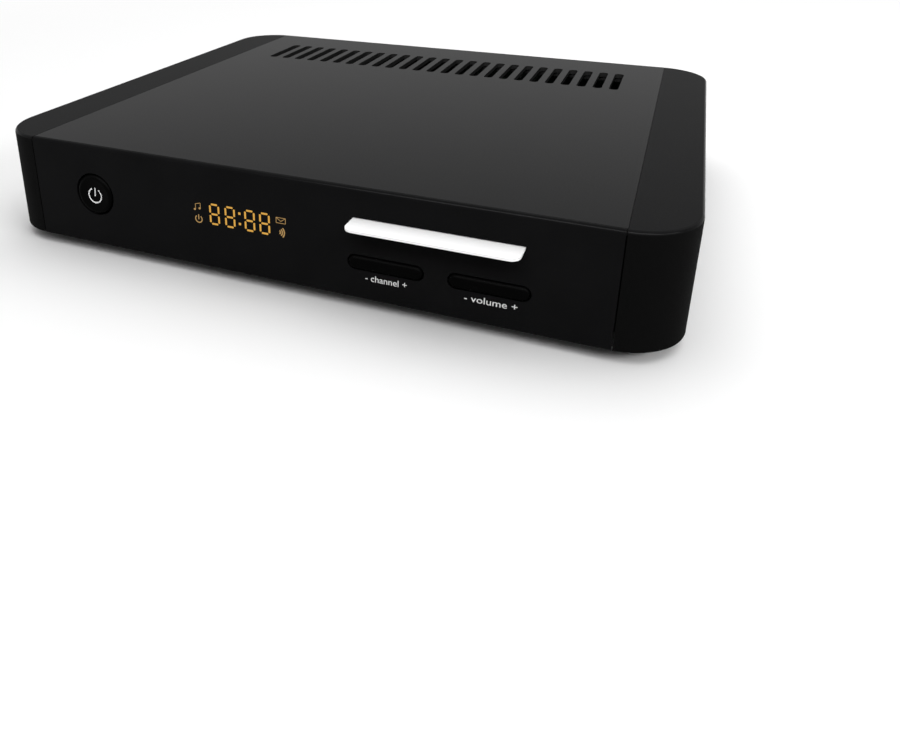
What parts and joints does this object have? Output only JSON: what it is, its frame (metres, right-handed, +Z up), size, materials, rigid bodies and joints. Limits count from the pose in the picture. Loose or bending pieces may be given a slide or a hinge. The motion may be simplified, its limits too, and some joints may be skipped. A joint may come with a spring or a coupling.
{
  "type": "television receiver",
  "caption": "Flat black set-top television receiver with rounded side cheeks, top vents, clock display, round power key, rocker keys and a card in its front slot.",
  "frame": {"origin": "on the floor, under the middle of the whole outline", "axes": "+X to the right seen from the front, the front faces -Y, +Z up"},
  "size_m": [0.247, 0.224, 0.042],
  "materials": {
    "cover_black": "matte, finely textured",
    "cheek_black": "satin",
    "fascia_smoked": "smoked, satin gloss",
    "inner_black": "matte moulded",
    "key_black": "satin gloss",
    "card_white": "smooth laminated",
    "contact_gold": "gold plated",
    "board_green": "solder resist",
    "chip_black": "moulded epoxy",
    "switch_grey": "moulded",
    "tin_plate": "tinned sheet",
    "nickel_plate": "nickel plated",
    "insulator_white": "moulded",
    "jack_yellow": "moulded",
    "jack_white": "moulded",
    "jack_red": "moulded",
    "sink_aluminium": "anodised",
    "sleeve_blue": "shrink sleeve",
    "screw_steel": "zinc plated",
    "foot_rubber": "matte",
    "ribbon_white": "film",
    "print_white": "printed ink",
    "display_amber": "lit segments",
    "sign_amber": "lit signs, dimmer"
  },
  "bodies": {
    "housing": {"bottom_tray": "inner_black", "rubber_feet": "foot_rubber", "left_cheek": "cheek_black", "right_cheek": "cheek_black", "front_fascia": "fascia_smoked", "front_carrier": "inner_black", "rear_panel": "inner_black", "top_cover": "cover_black", "case_screws": "screw_steel", "front_board": "board_green", "front_board_screws": "screw_steel", "display_module": "chip_black", "remote_receiver": "chip_black", "tact_switches": "chip_black", "switch_plungers": "switch_grey", "card_reader": "chip_black", "reader_springs": "contact_gold", "card_board": "board_green", "card_board_screws": "screw_steel", "main_board": "board_green", "board_screws": "screw_steel", "main_chip": "chip_black", "heat_sink": "sink_aluminium", "memory_chips": "chip_black", "capacitors": "sleeve_blue", "power_coils": "chip_black", "tuner_can": "tin_plate", "coax_connectors": "nickel_plate", "coax_insulators": "insulator_white", "coax_nuts": "nickel_plate", "phono_block": "chip_black", "phono_ring_left": "jack_yellow", "phono_ring_middle": "jack_white", "phono_ring_right": "jack_red", "phono_barrels": "nickel_plate", "digital_video_socket": "tin_plate", "data_socket": "tin_plate", "socket_tongues": "chip_black", "network_jack": "chip_black", "power_inlet": "chip_black", "inlet_pin": "nickel_plate", "front_ribbon": "ribbon_white", "card_ribbon": "ribbon_white", "ribbon_sockets": "insulator_white"},
    "power_button": {"power_button": "key_black", "power_plunger": "switch_grey"},
    "channel_rocker": {"channel_rocker": "key_black"},
    "volume_rocker": {"volume_rocker": "key_black"},
    "smart_card": {"smart_card": "card_white", "card_contacts": "contact_gold"}
  },
  "joints": [
    {"name": "power_press", "type": "slide", "parent": "housing", "child": "power_button", "axis": [0, 1, 0], "range_m": [0, 0.0005], "stiffness_N_per_m": 3000, "springref_m": -0.0003},
    {"name": "channel_rock", "type": "hinge", "parent": "housing", "child": "channel_rocker", "pos_m": [0.03415, -0.09765, 0.0166], "axis": [0, 0, 1], "range_deg": [-2.5, 2.5], "stiffness_Nm_per_rad": 0.3},
    {"name": "volume_rock", "type": "hinge", "parent": "housing", "child": "volume_rocker", "pos_m": [0.0672, -0.09765, 0.0166], "axis": [0, 0, 1], "range_deg": [-2.5, 2.5], "stiffness_Nm_per_rad": 0.3},
    {"name": "card_slide", "type": "slide", "parent": "housing", "child": "smart_card", "axis": [0, -1, 0], "range_m": [0, 0.07]}
  ]
}
